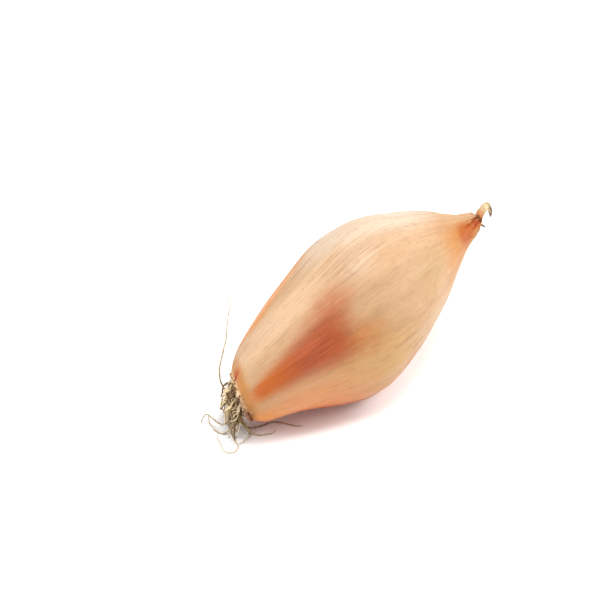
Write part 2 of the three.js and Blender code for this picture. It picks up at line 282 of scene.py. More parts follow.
def stack_map(stacks, sides, along):
    """The u and v of each corner, in the order of stack_faces: u = side / sides, and v = along. The point of
    a fan has the u of the middle of its triangle."""
    side = np.arange(sides)
    u, u_next = side / sides, (side + 1) / sides
    middle = (u + u_next) / 2
    low, high = along[:-1, None], along[1:, None]
    quad_uv = np.stack([
        np.stack(np.broadcast_arrays(*corner), axis=-1)
        for corner in ((u, low), (u_next, low), (u_next, high), (u, high))
    ], axis=2).reshape(-1, 2)
    start_v, end_v = np.full(sides, along[0]), np.full(sides, along[-1])
    first_uv = np.stack([middle, start_v, u_next, start_v, u, start_v], axis=-1).reshape(-1, 2)
    final_uv = np.stack([u, end_v, u_next, end_v, middle, end_v], axis=-1).reshape(-1, 2)
    return np.concatenate([np.tile(part, (stacks, 1)) for part in (quad_uv, first_uv, final_uv)])


print("a stack of 3 rings of 4 corners has", len(stack_faces(1, 3, 4)[1]), "faces")


# %% Stacks of rings become a mesh
def stack_mesh(name, starts, rings, ends, along, values=None):
    """starts and ends are (stacks, 3), rings is (stacks, rows, sides, 3) and along is (rows,), the v of each
    row. values maps a name to one number for each vertex of the rings, spread over them by broadcasting."""
    stacks, rows, sides = rings.shape[:3]
    points = np.concatenate([starts[:, None], rings.reshape(stacks, rows * sides, 3), ends[:, None]], axis=1)
    corners = points.reshape(-1, 3)
    loops, counts = stack_faces(stacks, rows, sides)

    mesh = bpy.data.meshes.new(name)
    mesh.vertices.add(len(corners))
    mesh.vertices.foreach_set("co", (corners * MM).astype(np.float32).ravel())
    mesh.loops.add(len(loops))
    mesh.loops.foreach_set("vertex_index", loops.astype(np.int32))
    mesh.polygons.add(len(counts))
    mesh.polygons.foreach_set("loop_start", (np.cumsum(counts) - counts).astype(np.int32))
    mesh.polygons.foreach_set("use_smooth", np.ones(len(counts), bool))
    mesh.update(calc_edges=True)
    uv = stack_map(stacks, sides, along)
    mesh.uv_layers.new(name="surface").data.foreach_set("uv", uv.astype(np.float32).ravel())

    for key, value in (values or {}).items():
        full = np.broadcast_to(value, (stacks, rows, sides)).reshape(stacks, -1)
        padded = np.concatenate([full[:, :1], full, full[:, -1:]], axis=1)
        data = mesh.attributes.new(key, "FLOAT", "POINT").data
        data.foreach_set("value", padded.astype(np.float32).ravel())

    piece = bpy.data.objects.new(name, mesh)
    bpy.context.scene.collection.objects.link(piece)
    print(f"{name}: {len(counts)} faces, z from {corners[:, 2].min():.2f} to {corners[:, 2].max():.2f} mm")
    return piece


def dress(piece, slot_name, material, *nodes):
    """The piece rides on the shallot's one body, takes a finish, and stands for the nodes named."""
    piece.data.materials.append(material)
    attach(piece, "root")
    if nodes:
        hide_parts(*nodes)


# %% [markdown]
# ## Laying out the marks on the skin
#
# A shallot's skin isn't one colour. A russet streak starts at the root end and widens to the belly, the top
# is pale and pinkish, which is painted highlight, the other side is tan, and the neck goes orange. One pale
# spot on the near side is painted sheen. These marks are broad and soft, so they can be numbers on the
# vertices: each is made of a few soft spots, with a place along the bulb and a direction round it. The fine
# veins are far thinner than the mesh, so they are left to the material.

# %% The spots of each mark
SPOTS = {  # how strong, place along the bulb, direction in degrees, reach along the bulb, spread round it
    "russet": ((0.8, 0.26, -62, 0.16, 0.34), (0.6, 0.62, 10, 0.16, 0.26), (0.5, 0.12, 28, 0.1, 0.4)),
    # pale and the mark after it are painted highlight on the top of the bulb; the last spot of that mark, at
    # 188 degrees, is painted sheen on the near side.
    "pale": ((1, 0.17, 88, 0.22, 0.4),),
    "painted_highlight": (
        (0.85, 0.49, 64, 0.22, 0.42), (0.8, 0.69, 78, 0.165, 0.5), (0.4, 0.42, 107, 0.1, 0.26),
        (0.35, 0.63, 188, 0.2, 0.36),
    ),
    "tan": ((1, 0.34, 186, 0.2, 0.4), (0.8, 0.5, -20, 0.3, 0.6)),
    "rosy": ((0.8, 0.28, 118, 0.1, 0.34), (0.4, 0.42, -80, 0.16, 0.4)),
    "salmon": ((1, 0.1, -155, 0.24, 0.6),),
    "amber": (
        (0.9, 0.17, 46, 0.18, 0.2), (0.4, 0.2, 20, 0.26, 0.55), (0.4, 0.12, 58, 0.08, 0.22),
        (0.6, 0.01, 98, 0.02, 0.25), (1, 0.03, 206, 0.06, 0.36), (0.45, 0.045, 160, 0.035, 0.22),
    ),
    "neck": ((1.1, 0.925, 146, 0.06, 0.6),),
    "toasted": ((0.7, 0.32, 160, 0.1, 0.34), (0.5, 0.55, -100, 0.2, 0.4)),
    "scarlet": ((0.9, 0.99, 140, 0.022, 0.5), (0.8, 0.008, 97, 0.02, 0.2)),
    "dun": ((0.85, 0.66, 142, 0.12, 0.4),),
    "copper": ((1, 0.4, -85, 0.45, 0.9), (0.8, 0.12, -112, 0.15, 0.5)),
}
DEGREE = math.pi / 180
print(sum(len(spots) for spots in SPOTS.values()), "soft spots in", len(SPOTS), "marks")


# %% Broad marks as numbers on the vertices
def patch(along, angle, place, direction, reach, spread):
    """A soft spot: a bump along the bulb times a bump round it. 2(1 - cos) stands in for the squared angle,
    so that the spot closes over the seam."""
    round_distance = 2 * (1 - np.cos(angle - direction * DEGREE))
    return np.exp(-((along - place) / reach) ** 2 - round_distance / spread ** 2)


def russet_streak(along, angle):
    """The streak moves up and widens on its way from the root end, and fades out at the belly. Across, it is
    e to the power of minus (distance over half width) to the power of 2.6, so it is flat inside."""
    middle = (151 - 21 * along) * DEGREE
    half = (11 + 77 * along) * DEGREE
    across = 2 * np.sin(0.5 * (angle - middle)) / half
    fading = step(along, 0.235, 0.38)
    return np.exp(-np.abs(across) ** 2.6) * step(along, -0.01, 0.065) * (1 - fading)


def skin_marks(along, angle):
    """One number from 0 to 1 for each mark, at each place: the sum of its spots. The streak, the orange of
    the two ends and the dark red-brown specks low on the near side of the root end have forms of their own."""
    marks = {
        name: sum(strength * patch(along, angle, *spot) for strength, *spot in spots)
        for name, spots in SPOTS.items()
    }
    marks["russet"] = russet_streak(along, angle) + marks["russet"]
    towards_neck = 0.1 + 0.9 * np.maximum(0, np.cos(angle - 154 * DEGREE)) ** 3
    marks["orange"] = step(along, 0.62, 0.88) * towards_neck + 1 - step(along, 0.0, 0.06)
    marks["dark_specks"] = step(along, 0.03, 0.0) * patch(along, angle, 0.0, -168, 0.05, 0.55)
    return {name: np.clip(value, 0, 1) for name, value in marks.items()}


print("the streak a fifth along:", round(float(russet_streak(0.2, 147 * DEGREE)), 2))


# %% [markdown]
# ## Torn lips and a closed back
#
# The skin alone would be a sleeve, open at both ends. Rings that turn inwards close it: at the root end a
# torn lip with uneven notches, the wall and the floor of the basin where the root plate sits, and at the
# neck a torn lip and the socket that the dry leaves come out of. With them the bulb is one closed stack.

# %% Rings of the torn lips
BASIN_FLOOR = (0.15, 0.4, 0.7, 0.95)
BASIN_WALL = (0.1, 0.35, 0.6, 0.8, 0.93, 1.0)
COLLAR_LIP = (  # distance in from the rim, share of the scrap's height, height of its own
    (1.6, 0.9, 0.1), (1.3, 0.75, 0.25), (0.95, 0.45, 0.35), (0.55, 0.2, 0.3), (0.22, 0.08, 0.16),
)
NECK_LIP = (  # how wide, share of the scrap's height, height of its own
    (0.995, 0.0, 0.25), (0.97, 0.1, 0.5), (0.92, 0.2, 0.8), (0.85, 0.35, 1.05), (0.76, 0.6, 1.25),
    (0.66, 0.9, 1.35), (0.57, 1.0, 1.25), (0.5, 0.8, 0.8), (MOUTH_INNER, 0, 0),
)
NECK_SOCKET = ((0.97, 1.0), (0.9, 2.2), (0.8, MOUTH_SOCKET), (0.3, MOUTH_SOCKET))  # how wide, how deep


def collar_gaps(angle):
    """1 in the middle of a notch between two scraps, 0 on a scrap: narrow bumps where a sine of 11 times the
    angle crosses zero. On the far side they wander, and some are shallow."""
    near = np.maximum(0, np.cos(angle - 2.5)) ** 0.5
    wander = 0.25 * np.sin(2 * angle) + 1.6 * (1 - near) * np.sin(3 * angle + 1)
    notched = np.clip(0.45 + 0.55 * lobes(angle, 0, (4, 7, 9), 0, seed=7) + near, 0, 1)
    return notched * bell(np.sin(11 * angle - 0.87 + wander), 0.4)


def collar_rings(angle, gaps):
    """From the middle of the basin outwards: its floor, its wall, the torn lip, and a foot on the skin."""
    inner = rim_radius - COLLAR_WALL
    scraps = torn(angle, 6.5, COLLAR_TEAR) + 0.12 * np.abs(lobes(angle, 0, (15, 24, 37), 0, seed=5))
    floor = [root_end(inner * wide, angle, -COLLAR_BASIN) for wide in BASIN_FLOOR]
    wall = [
        root_end(inner - 0.5 * rise, angle, -COLLAR_BASIN * (1 - rise) + (scraps + 0.1) * rise ** 2)
        for rise in BASIN_WALL
    ]
    lip = [
        root_end(rim_radius - inward, angle, (scraps * high + level) * (1 - 0.85 * gaps))
        for inward, high, level in COLLAR_LIP
    ]
    foot = root_end(rim_radius - 0.06, angle, scraps * 0.02 + 0.08)
    return np.stack([*floor, *wall, *lip, foot])


def neck_rings(mouth, angle):
    """From the last ring of the skin inwards: the torn lip, then the socket."""
    scraps = torn(angle, 3.5, MOUTH_TEAR) + 0.2 * np.abs(lobes(angle, 0, (11, 17, 26), 0, seed=6))
    spokes = mouth - neck_tip
    lip = [
        neck_tip + spokes * wide + (scraps * high + level)[:, None] * neck_out
        for wide, high, level in NECK_LIP
    ]
    socket = [neck_tip + spokes * MOUTH_INNER * wide - deep * neck_out for wide, deep in NECK_SOCKET]
    return np.stack([*lip, *socket])


print("rings of the collar", len(BASIN_FLOOR) + len(BASIN_WALL) + len(COLLAR_LIP) + 1)
print("rings of the neck", len(NECK_LIP) + len(NECK_SOCKET))


# %% Build the bulb's skin
AROUND = 352
SKIN_ROWS = 238


def fold_marks(along, angle, gaps):
    """Marks that follow the folds and tears: the sharp valleys between pleats and the folds at the rim, both
    partly the skin's own red-brown and partly painted shade, the torn edge, painted shade in its notches, a
    thin painted shadow line under the torn edge, and painted shade on the inside of both ends."""
    valley = 0.5 - 0.5 * pleat_wave(along, angle)
    some = 0.55 + 0.45 * lobes(angle, along, (2, 5, 7), 9, seed=8)
    gathered = step(along, 0.905, 0.955) * (1 - 0.5 * step(along, 0.975, 1))
    # The inside mark is painted shade: full in the basin of the root end, fainter in the socket of the neck.
    inside = np.zeros((len(along), 1))
    inside[:len(BASIN_FLOOR) + len(BASIN_WALL) - 1] = 1
    inside[-len(NECK_SOCKET) - 1:] = 0.3
    return {
        # The crease and rim fold marks are partly the skin's own red-brown and partly painted shade in the
        # pleat valleys and rim slits.
        "crease": gathered * valley ** 7 * np.clip(some * 1.3, 0, 1),
        "rim_fold": rim_slits(along, angle),
        "edge": step(along, 0.006, -0.002),
        # The notch mark is painted shade in the gaps of the lip and on its inner side; the mark after it is a
        # thin painted shadow line under the torn edge.
        "notch": np.maximum(step(along, 0.001, -0.002) * gaps, step(along, -0.008, -0.014)),
        "painted_edge_shadow": bell(angle - 2.6, 0.22) * bell(along - 0.006 - 0.002 * np.sin(9 * angle), 0.002),
        "inside": inside,
    }


def build_skin():
    """The rings of the root end, of the skin and of the neck as one closed stack, with all marks."""
    angle = np.arange(AROUND) / AROUND * TURN
    share = np.linspace(0, 1, SKIN_ROWS)
    gaps = collar_gaps(angle)
    skin = skin_point(*np.meshgrid(share, angle, indexing="ij"))
    before, after = collar_rings(angle, gaps), neck_rings(skin[-1], angle)
    rings = np.concatenate([before, skin, after])

    v = np.concatenate([
        np.linspace(-0.06, -0.002, len(before)),
        through(PROFILE, share)[:, 0],
        1 + np.linspace(0.005, 0.05, len(after)),
    ])
    along = np.broadcast_to(v[:, None], rings.shape[:2])
    round_it = np.broadcast_to(angle, rings.shape[:2])
    marks = {**skin_marks(np.clip(along, 0, 1), round_it), **fold_marks(along, round_it, gaps)}
    start = root_end(0.0, np.array(0.0), -COLLAR_BASIN)[None]
    end = (neck_tip - MOUTH_SOCKET * neck_out)[None]
    return stack_mesh("bulb_skin", start, rings[None], end, v, marks)


bulb_skin = build_skin()


# %% [markdown]
# ## A short way to write a finish
#
# A finish is a tree of nodes, and most of its nodes only add or multiply. It could be linked up one node at a
# time, which takes pages. Here each output is wrapped, so that a plus sign in the script adds an Add node,
# and the finish reads as the formula that it is. Everything is procedural: it works at any distance.

# %% A wrapper for nodes
def colour(code):
    """Six hex digits as light. Screens store about the 2.2th root of light, which this undoes."""
    parts = np.array([int(code[i:i + 2], 16) for i in (0, 2, 4)]) / 255
    light = np.where(parts <= 0.04045, parts / 12.92, ((parts + 0.055) / 1.055) ** 2.4)
    return (*light.tolist(), 1.0)


print("brown 6E3A1C as light:", [round(part, 3) for part in colour("6E3A1C")])


class Wire:
    """The output of a node. Arithmetic on it adds Math nodes."""

    def __init__(self, finish, socket):
        self.finish, self.socket = finish, socket

    def __add__(self, other):
        return self.finish.math("ADD", self, other)

    def __sub__(self, other):
        return self.finish.math("SUBTRACT", self, other)

    def __mul__(self, other):
        return self.finish.math("MULTIPLY", self, other)

    __radd__ = __add__


# %% A finish and its nodes
class Finish:
    """A material built around one Principled shader."""

    def __init__(self, name):
        self.material = bpy.data.materials.new(name)
        self.material.use_nodes = True
        self.tree = self.material.node_tree
        self.shader = self.tree.nodes["Principled BSDF"]

    def give(self, socket, value):
        """Links a wire to the socket, or sets the socket's own value."""
        if isinstance(value, Wire):
            self.tree.links.new(value.socket, socket)
        else:
            socket.default_value = value

    def add(self, kind, inputs, output=0, **settings):
        """A new node with its settings and inputs. What comes back is the wire of one output."""
        node = self.tree.nodes.new("ShaderNode" + kind)
        for key, value in settings.items():
            setattr(node, key, value)
        for key, value in inputs.items():
            self.give(node.inputs[key], value)
        return Wire(self, node.outputs[output])

    def math(self, operation, *values):
        """One operation on one or two values."""
        return self.add("Math", dict(enumerate(values)), operation=operation)

    def attribute(self, name):
        """The number that the vertices carry under that name."""
        return self.add("Attribute", {}, output="Fac", attribute_name=name)

    def vector(self, x, y, z):
        """Three numbers as one place."""
        return self.add("CombineXYZ", {0: x, 1: y, 2: z})

    def object_place(self):
        """Object coordinates, in metres."""
        return self.add("TexCoord", {}, output="Object")

    def surface(self):
        """The piece's own map: u round it and v along it."""
        u = self.add("SeparateXYZ", {0: self.add("UVMap", {}, uv_map="surface")})
        return u, Wire(self, u.socket.node.outputs[1])

    def noise(self, place, scale=1.0, detail=2.0, roughness=0.5):
        """Smooth noise from 0 to 1, with its middle at 0.5."""
        settings = {"Vector": place, "Scale": scale, "Detail": detail, "Roughness": roughness}
        return self.add("TexNoise", settings)

    def between(self, value, low, high, to_low=0.0, to_high=1.0):
        """A smooth step from low to high."""
        return self.add("MapRange", {0: value, 1: low, 2: high, 3: to_low, 4: to_high},
                        interpolation_type="SMOOTHSTEP")

    def mix(self, share, first, second):
        """First where share is 0, second where it is 1."""
        return self.add("Mix", {0: share, 6: first, 7: second}, output=2, data_type="RGBA")

    def blend(self, share, first, second):
        """A mix of two colours that are given as codes."""
        return self.mix(share, colour(first), colour(second))

    def coats(self, base, *coats):
        """Lays coats over the base, each a share and a colour code, one after another."""
        for share, code in coats:
            base = self.mix(share, base, colour(code))
        return base

    def finish(self, base, roughness, bump=None, depth=0.0001, **constants):
        """Sets the shader. depth is the height in metres that a bump of 1 stands for."""
        self.give(self.shader.inputs["Base Color"], base)
        self.give(self.shader.inputs["Roughness"], roughness)
        if bump is not None:
            normal = self.add("Bump", {"Strength": 1.0, "Distance": depth, "Height": bump}, output="Normal")
            self.give(self.shader.inputs["Normal"], normal)
        for key, value in constants.items():
            self.shader.inputs[key.replace("_", " ")].default_value = value
        print(f"{self.material.name}: {len(self.tree.nodes)} nodes")
        return self.material


# %% [markdown]
# ## The dry skin
#
# The outer skin is one dead leaf. Its veins run from root to neck, and between them lie finer fibres and
# short flecks, which are noise drawn out along the bulb. A vein pattern can be worked out from the surface
# map alone: u times a count, cut into its whole part, which names the vein, and its fraction, which is the
# place across it. The whole part feeds a noise that gives each vein its own strength, and a second one
# breaks it along its length. A slow wander keeps the veins from looking ruled.

# %% Veins and fibres from the surface map
def round_and_along(finish, round_scale, along_scale, shift=0.0):
    """The surface map rolled into a tube, (cos u, sin u, v), so that noise on it has no seam."""
    u, v = finish.surface()
    turn = u * TURN
    across, up = finish.math("COSINE", turn), finish.math("SINE", turn)
    return finish.vector(across * round_scale, up * round_scale, v * along_scale + shift)


def vein_lines(finish, count, width, wander, seed, broken):
    """Thin lines along v: 1 on a vein, 0 off it. Each cell of u holds one vein, at a place of its own. The
    vein is whole where the noise along it is over the second number of broken, and gone under the first."""
    u, v = finish.surface()
    spacing = finish.noise(round_and_along(finish, 2.6, 0.25, seed), detail=2) - 0.5
    drift = finish.noise(round_and_along(finish, 1.3, 2.2, seed), detail=1) - 0.5
    tremble = finish.noise(round_and_along(finish, 7.0, 26.0, seed), detail=2) - 0.5
    place = u * count + spacing * 7.0 + drift * wander + tremble * 0.12
    cell = finish.math("FLOORED_MODULO", finish.math("FLOOR", place), count)
    own = finish.add("TexWhiteNoise", {"W": cell + seed}, noise_dimensions="1D")
    middle = own * 0.5 + 0.25
    distance = finish.math("ABSOLUTE", finish.math("FRACT", place) - middle)
    line = finish.between(distance, 0.0, width, 1.0, 0.0)
    along = finish.noise(finish.vector(cell * 3.7, v * 7.0, seed), detail=2)
    return line * finish.between(along, *broken)


# %% [markdown]
# ## The skin's finish, coat by coat
#
# The colours go on as a painter's coats do, each by its own share over what is below: the broad marks, among
# them a painted highlight on the top, light fibres and flecks, the orange of the neck, the russet streak,
# then dark flecks, veins, freckles, and last the folds and torn edges. The folds are partly the skin's own
# red-brown and partly painted shade, and the notches, a thin line under the torn edge and the insides of both
# ends are painted shade. A mark's soft edge is shifted by the fibre noise, so it ends in fibres too. The
# russet comes after the light fibres, because nothing pale lies on it on a real skin.

# %% The dry skin's finish
# The pale tint and the one after it lay painted highlight on the top; the rest are the skin's own colours.
SKIN_TINTS = (  # mark, its colour, how much of it at most
    ("tan", "B38D5D", 1.0), ("pale", "C1A182", 1.0), ("painted_highlight", "C5AF99", 1.0), ("rosy", "A87250", 1.0),
    ("dun", "A3835C", 1.0), ("salmon", "C48455", 1.0), ("orange", "A66D30", 1.0), ("amber", "C47A34", 1.0),
    ("copper", "C05420", 0.95), ("toasted", "AA6C38", 1.0),
)


def dry_skin():
    """Peach paper with marks, some of them painted highlight and painted shade: colour by the numbers on the
    vertices, then veins, fibres and freckles.
    """
    skin = Finish("dry_skin")
    place = skin.object_place()
    _, v = skin.surface()
    mottle = skin.noise(place, 70, 3, 0.6)
    speckle = skin.noise(place, 900, 2, 0.6)
    dark_speck_noise = skin.noise(place, 1500, 2, 0.6)
    fibre = skin.noise(round_and_along(skin, 34, 7), detail=2, roughness=0.6)
    band = skin.noise(round_and_along(skin, 5.5, 1.6, 3.0), detail=2)
    fleck = skin.noise(round_and_along(skin, 13, 32, 11.0), detail=3, roughness=0.65)
    strong = vein_lines(skin, 50, 0.08, 0.9, 3.0, (0.42, 0.62))
    fine = vein_lines(skin, 131, 0.16, 1.6, 8.0, (0.45, 0.65))

    def ragged(name, low=0.12, high=0.88, rough=0.5):
        """A mark whose soft edge is pulled out into fibres."""
        frayed = skin.attribute(name) + (fibre - 0.5) * rough + (mottle - 0.5) * 0.35
        return skin.between(frayed, low, high)

    def clean(name, low, high):
        """A mark whose edge is left as it is."""
        return skin.between(skin.attribute(name), low, high)

    base = skin.coats(
        skin.blend(skin.between(mottle, 0.3, 0.7), "B18E6B", "AB8764"),
        *((ragged(name) * most, tint) for name, tint, most in SKIN_TINTS),
        (skin.between(band, 0.35, 0.65) * 0.08, "C4A67C"),
        (skin.between(fibre, 0.45, 0.75) * 0.12, "CBAE88"),
        (skin.between(fibre, 0.5, 0.25) * 0.12, "96602F"),
        (skin.between(fleck, 0.48, 0.28) * 0.14, "D2AE86"),
        (ragged("neck"), "9A4A02"),
        (ragged("scarlet") * 0.9, "9E3C16"),
    )
    streaky = skin.blend(skin.between(fibre, 0.3, 0.7), "863C22", "A65434")
    russet = skin.mix(skin.between(v, 0.06, 0.18), colour("AC5820"), streaky)
    russet = skin.mix(skin.between(v, 0.2, 0.32), russet, colour("96481F"))
    base = skin.coats(
        skin.mix(ragged("russet", 0.05, 1.0, 0.6), base, russet),
        (skin.between(fleck, 0.52, 0.72) * 0.2, "864826"),
        (fine * 0.17, "7F4A26"),
        (strong * 0.3, "6A3E28"),
        (skin.between(speckle, 0.64, 0.76) * 0.3, "8C5C33"),
        # Among the coats below, the pleat valleys and rim slits are partly the skin's own red-brown and
        # partly painted shade, and the notches, the thin line under the torn edge and the insides of both
        # ends are painted shade.
        (clean("crease", 0.1, 0.6) * 0.95, "962E10"),
        (clean("edge", 0.2, 0.9) * 0.75, "C8A47C"),
        (skin.between(dark_speck_noise, 0.4, 0.5) * skin.attribute("dark_specks") * 0.9, "52190A"),
        (skin.attribute("painted_edge_shadow") * 0.6, "6E3A1C"),
        (clean("notch", 0.3, 0.8) * 0.9, "3E1C0C"),
        (clean("rim_fold", 0.3, 0.9) * 0.95, "581A04"),
        (skin.attribute("inside") * 0.8, "4E361E"),
    )

    rough = 0.46 + (fibre - 0.5) * 0.25 + (mottle - 0.5) * 0.15
    bump = fibre * 0.5 + strong * 0.4 + fine * 0.3 + speckle * 0.12 + mottle * 0.6
    return skin.finish(base, rough, bump, 0.00012, Specular_IOR_Level=0.2)


dress(bulb_skin, "dry_skin", dry_skin(), "bulb")


# %% [markdown]
# ## The root plate
#
# The roots grow from a corky plate, a little crown sunk in the torn collar. It dries lumpy, with a dent in
# its middle and a scar for each root that fell off. A shallow dome over the angle and the radius gives the
# shape, and waves of several sizes give the lumps. The back closes it behind, where the bulb hides it.

# %% Build the root plate
PLATE_SIDES, PLATE_ROWS = 128, 40
PLATE_BULGE, PLATE_DENT, PLATE_CLEAR, PLATE_BACK = 1.0, 0.7, 0.12, 0.15
EDGE_DEEP = (-1.8, -0.6)
LUMPS = ((3.0, 0.25), (6.5, 0.22), (13.0, 0.12))  # how close together, how high
WAVES_EACH = 4


def build_plate():
    """Height = bulge * (1 - share^3) less a dent in the middle, plus lumps that fade at the edge."""
    angle = -np.arange(PLATE_SIDES) / PLATE_SIDES * TURN
    reach = plate_radius - PLATE_CLEAR
    behind = PLATE_BACK - COLLAR_BASIN
    back = [root_end(reach * share, angle, behind) for share in (0.3, 0.7, 0.96)]
    share = np.concatenate([np.ones(len(EDGE_DEEP)), np.linspace(0.99, 0.04, PLATE_ROWS)])
    deep = np.concatenate([EDGE_DEEP, np.zeros(PLATE_ROWS)])
    wide, turned = np.meshgrid(share, angle, indexing="ij")
    across, up = wide * np.cos(turned), wide * np.sin(turned)
    draw = np.random.default_rng(7)
    lumps = 0
    for size, height in LUMPS:
        for _ in range(WAVES_EACH):
            a, b, start = draw.normal(size=3) * (size, size, 3)
            lumps = lumps + height * np.sin(a * across + b * up + start)
    dome = PLATE_BULGE * (1 - wide ** 3) - PLATE_DENT * bell(wide, 0.3) - 1.3 * step(wide, 0.72, 0.98)
    height = dome + 0.6 * lumps * (1 - wide ** 6)
    front = root_end(reach * wide, turned, height + deep[:, None])
    rings = np.concatenate([np.stack(back), front])
    along = np.concatenate([np.zeros(len(back)), 1 - share])
    start = root_end(0.0, np.array(0.0), behind)[None]
    end = front[-1].mean(axis=0)[None]
    return stack_mesh("root_plate", start, rings[None], end, along)


root_plate = build_plate()


# %% [markdown]
# ## The dead roots
#
# Dead roots are wiry, brown-grey and never straight: they leave the plate in a bunch, droop, and wind down
# in loose, level coils. Each is a route with a round section carried along it. The section must not twist,
# so its frame is handed on from step to step by two reflections, for all roots at once. A fine crinkle and a
# taper make the plain tubes look dry.

# %% Strands along routes
FLOOR_GAP = 0.02


def crinkled(paths, seed, size):
    """Moves the points of each path sideways by three waves that grow from its start."""
    draw = np.random.default_rng(seed)
    share = np.linspace(0, 1, paths.shape[1])[None, :, None]
    for waves in (2, 4, 7):
        direction = draw.normal(size=(len(paths), 1, 3))
        start = draw.uniform(0, TURN, (len(paths), 1, 1))
        paces = waves * draw.uniform(0.8, 1.3, (len(paths), 1, 1))
        height = size[:, None, None] * np.minimum(1, 5 * share)
        paths = paths + height * direction * np.sin(TURN * paces * share + start) / waves ** 0.7
    return paths


def carried_frames(paths):
    """For each path, two unit vectors square to it at each point. Each step reflects the last frame in the
    plane between two points, and then in the plane between the two directions."""
    ahead = unit(np.gradient(paths, axis=1))
    helper = np.where(np.abs(ahead[:, 0, 2:3]) < 0.8, [[0.0, 0.0, 1.0]], [[0.0, 1.0, 0.0]])
    sideways = np.empty_like(paths)
    sideways[:, 0] = unit(np.cross(ahead[:, 0], helper))

    def reflect(v, plane):
        """v less twice its part along plane, which is square to the mirror."""
        size = np.sum(plane * plane, axis=-1, keepdims=True) + 1e-12
        return v - 2 * np.sum(v * plane, axis=-1, keepdims=True) / size * plane

    for i in range(paths.shape[1] - 1):
        chord = paths[:, i + 1] - paths[:, i]
        moved, turned = reflect(sideways[:, i], chord), reflect(ahead[:, i], chord)
        sideways[:, i + 1] = reflect(moved, ahead[:, i + 1] - turned)
    return sideways, np.cross(ahead, sideways), ahead


def strands(name, paths, radii, sides=8, shades=()):
    """A round section carried along each path. Points that would sink into the floor are lifted onto it.
    Each strand has a shade of its own from 0 to 1, and shades are those of the last few."""
    paths = paths.copy()
    paths[..., 2] = np.maximum(paths[..., 2], radii + FLOOR_GAP)
    across, up, ahead = carried_frames(paths)
    turned = np.arange(sides) / sides * TURN
    around = (
        across[:, :, None] * np.cos(turned)[None, None, :, None]
        + up[:, :, None] * np.sin(turned)[None, None, :, None]
    )
    rings = paths[:, :, None] + radii[:, :, None, None] * around
    rings[..., 2] = np.maximum(rings[..., 2], 0)
    starts = paths[:, 0] - ahead[:, 0] * radii[:, :1]
    ends = paths[:, -1] + ahead[:, -1] * radii[:, -1:] * 1.5
    ends[:, 2] = np.maximum(ends[:, 2], FLOOR_GAP)
    own = np.random.default_rng(len(paths)).uniform(size=(len(paths), 1, 1))
    own[len(paths) - len(shades):, 0, 0] = shades
    v = np.linspace(0, 1, paths.shape[1])
    return stack_mesh(name, starts, rings, ends, v, {"own_shade": own, "along": v[None, :, None]})


# %% [markdown]
# ## Where the roots go
#
# The thick roots of the bunch follow those of the measured solid, drawn by the same simple rule for random
# numbers, so the fine surfaces lie close to the solid's. The few long roots that leave the bunch are lists of
# points, turned into millimetres by a small sum, and then moved a little.

# %% Routes of the bunch
ROOT_COUNT = 30
ROUTE_POINTS = 25
ROOT_SUNK = 1.0
ROOTS_LIE_AT = 0.31
SPREAD_RADIUS = plate_radius - 0.35
GOLDEN_TURN = math.pi * (3 - math.sqrt(5))
COIL_FORWARD, COIL_UP, HIGHER_SMALLER = 0.4, 0.25, 0.6


def drawn_numbers(seed, count):
    """Numbers from 0 to 1: each state is the last times 1664525 plus 1013904223, kept to 32 bits."""
    state, made = seed, []
    for _ in range(count):
        state = (state * 1664525 + 1013904223) % 2 ** 32
        made.append(state / 2 ** 32)
    return np.array(made)


def tuft_routes(length, spread, droop, curl, turns, phase, first=0.5):
    """Roots that start like the seeds of a sunflower, over the plate. Each slows down as it leaves, droops
    by the square of the way gone, and winds down like a loose spring: level circles of the curl, pushed
    outwards so that they clear the plate, and smaller for the roots that start higher."""
    count = len(length)
    index = np.arange(count)
    place = 0.86 * SPREAD_RADIUS * np.sqrt((index + first) / count)
    angle = index * GOLDEN_TURN
    s = np.arange(ROUTE_POINTS)[None, :, None] / (ROUTE_POINTS - 1)
    side = unit(np.cross([0, 0, 1], root_out))
    forward = np.cross(side, [0, 0, 1])
    spoke = unit(root_spoke(angle))
    long = length[:, None, None]
    round_way = TURN * turns[:, None] * s[..., 0] + phase[:, None]
    smaller = 1 - HIGHER_SMALLER * np.maximum(0, np.sin(angle)) * place / SPREAD_RADIUS
    swing = (curl * smaller)[:, None] * np.minimum(1, 2.5 * s[..., 0])
    routes = (
        root_end(place, angle, 0.0)[:, None]
        + root_out * (long * (0.58 * s - 0.18 * s * s) - ROOT_SUNK * (1 - s))
        + spoke[:, None] * long * (spread * place / SPREAD_RADIUS)[:, None, None] * 0.5 * s
        + side * (swing * np.cos(round_way))[..., None]
        + forward * (COIL_FORWARD * swing * (1 + np.sin(round_way)))[..., None]
    )
    routes[..., 2] += COIL_UP * swing * np.sin(round_way) - (length * droop)[:, None] * s[..., 0] ** 2
    routes[..., 2] = ROOTS_LIE_AT + np.maximum(routes[..., 2] - 0.3, 0)
    return routes


ROOT_RANGES = (  # length, spread, droop, curl, turns, sense of turning, phase
    (5.5, 12), (0, 0.35), (0.45, 1.1), (0.8, 1.5), (1.2, 2.4), (-1, 1), (0, 1),
)
lowest, highest = np.array(ROOT_RANGES).T
main_draws = drawn_numbers(11, ROOT_COUNT * len(ROOT_RANGES)).reshape(ROOT_COUNT, -1)
length, spread, droop, curl, turns, sense, phase = (lowest + (highest - lowest) * main_draws).T
main_routes = tuft_routes(length, spread, droop, curl, turns * np.sign(sense), TURN * phase)
print("main roots", main_routes.shape, "lowest", main_routes[..., 2].min().round(2))

